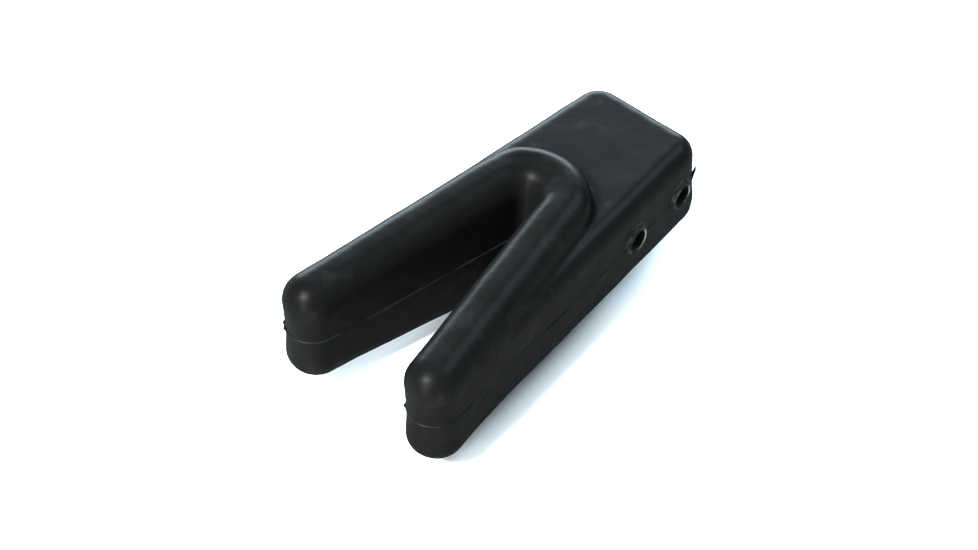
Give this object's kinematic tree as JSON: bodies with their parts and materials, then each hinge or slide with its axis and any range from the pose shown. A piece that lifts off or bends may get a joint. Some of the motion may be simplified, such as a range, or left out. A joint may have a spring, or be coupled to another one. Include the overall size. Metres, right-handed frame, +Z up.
{
  "type": "rubber-covered cleat horn fork",
  "caption": "V-shaped rubber fork on a rectangular tail block, moulded over a welded steel bar frame, held by cross bolts through sleeves in the tail.",
  "frame": {"origin": "midway between the two cross bores, on the parting plane and on the centre plane", "axes": "+X from the tail to the open mouth of the V, +Y along the cross bores, +Z up, across the parting plane"},
  "size_m": [0.1507, 0.0746, 0.0542],
  "materials": {
    "rubber": "satin black moulded rubber with flash at the parting line",
    "frame_steel": "hot-rolled flat bar with welds",
    "sleeve_steel": "black-coated steel tube"
  },
  "bodies": {
    "root": {"upper_half": "rubber", "lower_half": "rubber", "fork_bar": "frame_steel", "tail_bar": "frame_steel", "front_sleeve": "sleeve_steel", "rear_sleeve": "sleeve_steel"}
  },
  "joints": []
}
